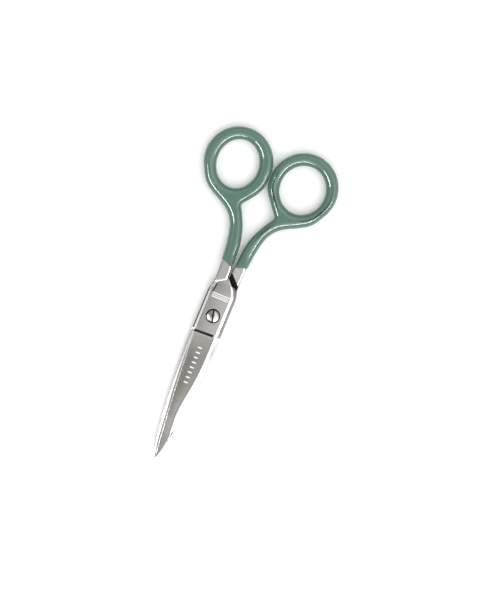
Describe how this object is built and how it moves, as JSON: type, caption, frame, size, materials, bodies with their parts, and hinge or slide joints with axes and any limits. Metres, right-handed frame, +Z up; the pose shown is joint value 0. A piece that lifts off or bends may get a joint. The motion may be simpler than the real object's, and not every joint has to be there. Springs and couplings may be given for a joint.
{
  "type": "scissors",
  "caption": "Small straight-bladed craft scissors with slim tapered blades, a slotted pivot screw and vinyl-dipped ring handles.",
  "frame": {"origin": "on the pivot axis, level with the surface that the closed scissors lie on", "axes": "+Y along the closed scissors from the pivot to the bows, +X to the right seen from above, +Z up from the resting surface, front half on top"},
  "size_m": [0.0636, 0.1547, 0.006],
  "materials": {
    "blade_steel": "satin flats with polished bevels",
    "vinyl": "glossy dipped vinyl",
    "screw_steel": "bright plated"
  },
  "bodies": {
    "rear": {"rear_half": "blade_steel", "rear_grip": "vinyl", "pivot_screw": "screw_steel"},
    "front": {"front_half": "blade_steel", "front_grip": "vinyl"}
  },
  "joints": [
    {"name": "pivot", "type": "hinge", "parent": "rear", "child": "front", "pos_m": [0, 0, 0.003], "axis": [0, 0, 1], "range_deg": [0, 135]}
  ]
}
